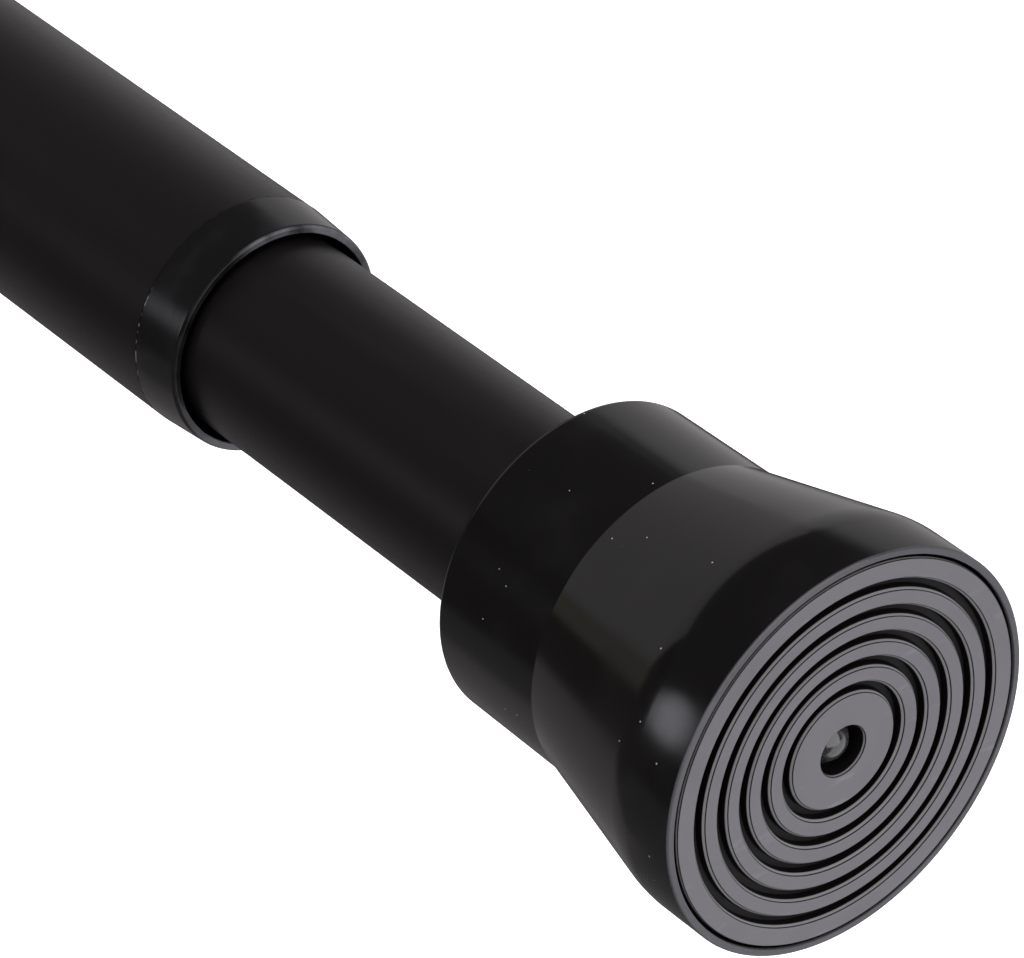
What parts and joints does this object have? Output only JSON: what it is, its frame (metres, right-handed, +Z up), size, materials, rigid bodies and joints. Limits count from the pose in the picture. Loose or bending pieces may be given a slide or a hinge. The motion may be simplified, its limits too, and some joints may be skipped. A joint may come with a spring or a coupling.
{
  "type": "pull up bar",
  "caption": "Black telescopic doorway pull up bar with a tapered collar, bell-shaped swivel feet and ringed rubber pads, closed by an internal screw.",
  "frame": {"origin": "centre of the far foot's wall face, on the bar's axis", "axes": "+X along the bar from the far foot to the near foot, +Z up, the bar level as it is used"},
  "size_m": [0.6825, 0.052, 0.052],
  "materials": {
    "black_tube": "satin black powder coat",
    "collar_plastic": "gloss black moulding",
    "cup_plastic": "gloss black moulding",
    "pad_rubber": "smooth dark rubber with a soft shine",
    "plug_plastic": "matt black nylon",
    "pin_black": "gloss black",
    "zinc_steel": "zinc plated",
    "bright_steel": "turned steel, oiled",
    "spring_steel": "blued spring steel",
    "nylon": "natural nylon",
    "sleeve_plastic": "moulded acetal",
    "ring_rubber": "matt rubber",
    "nut_brass": "turned brass"
  },
  "bodies": {
    "far_foot": {"far_cup": "cup_plastic", "far_pad": "pad_rubber"},
    "outer_bar": {"outer_tube": "black_tube", "collar": "collar_plastic", "far_plug": "plug_plastic", "far_plug_rivets": "zinc_steel", "far_pivot_pin": "pin_black", "far_pin_washer": "zinc_steel", "far_thrust_washer": "nylon"},
    "lock": {"tie_bolt": "zinc_steel", "end_nut": "zinc_steel", "end_washer": "zinc_steel", "disc_springs": "spring_steel", "grip_sleeve": "sleeve_plastic", "drag_ring": "ring_rubber", "wedge_cone": "bright_steel", "spindle": "bright_steel", "stop_washer": "zinc_steel"},
    "near_foot": {"near_cup": "cup_plastic", "near_pad": "pad_rubber"},
    "inner_bar": {"inner_tube": "black_tube", "nut_carrier": "plug_plastic", "carrier_rivets": "zinc_steel", "drive_nut": "nut_brass", "glide_ring": "nylon", "near_plug": "plug_plastic", "near_plug_rivets": "zinc_steel", "near_pivot_pin": "pin_black", "near_pin_washer": "zinc_steel", "near_thrust_washer": "nylon"}
  },
  "joints": [
    {"name": "bar_swivel", "type": "hinge", "parent": "far_foot", "child": "outer_bar", "pos_m": [0.02, 0, 0], "axis": [1, 0, 0], "continuous": true},
    {"name": "telescope", "type": "slide", "parent": "outer_bar", "child": "lock", "axis": [1, 0, 0], "range_m": [-0.057, 0.287]},
    {"name": "screw_feed", "type": "slide", "parent": "lock", "child": "near_foot", "axis": [1, 0, 0], "range_m": [0, 0.03]},
    {"name": "tube_twist", "type": "hinge", "parent": "near_foot", "child": "inner_bar", "pos_m": [0.66, 0, 0], "axis": [1, 0, 0], "range_deg": [0, 2700]}
  ],
  "couplings": [
    {"joint": "tube_twist", "follows": "screw_feed", "rad_per_m": 1570.8}
  ]
}
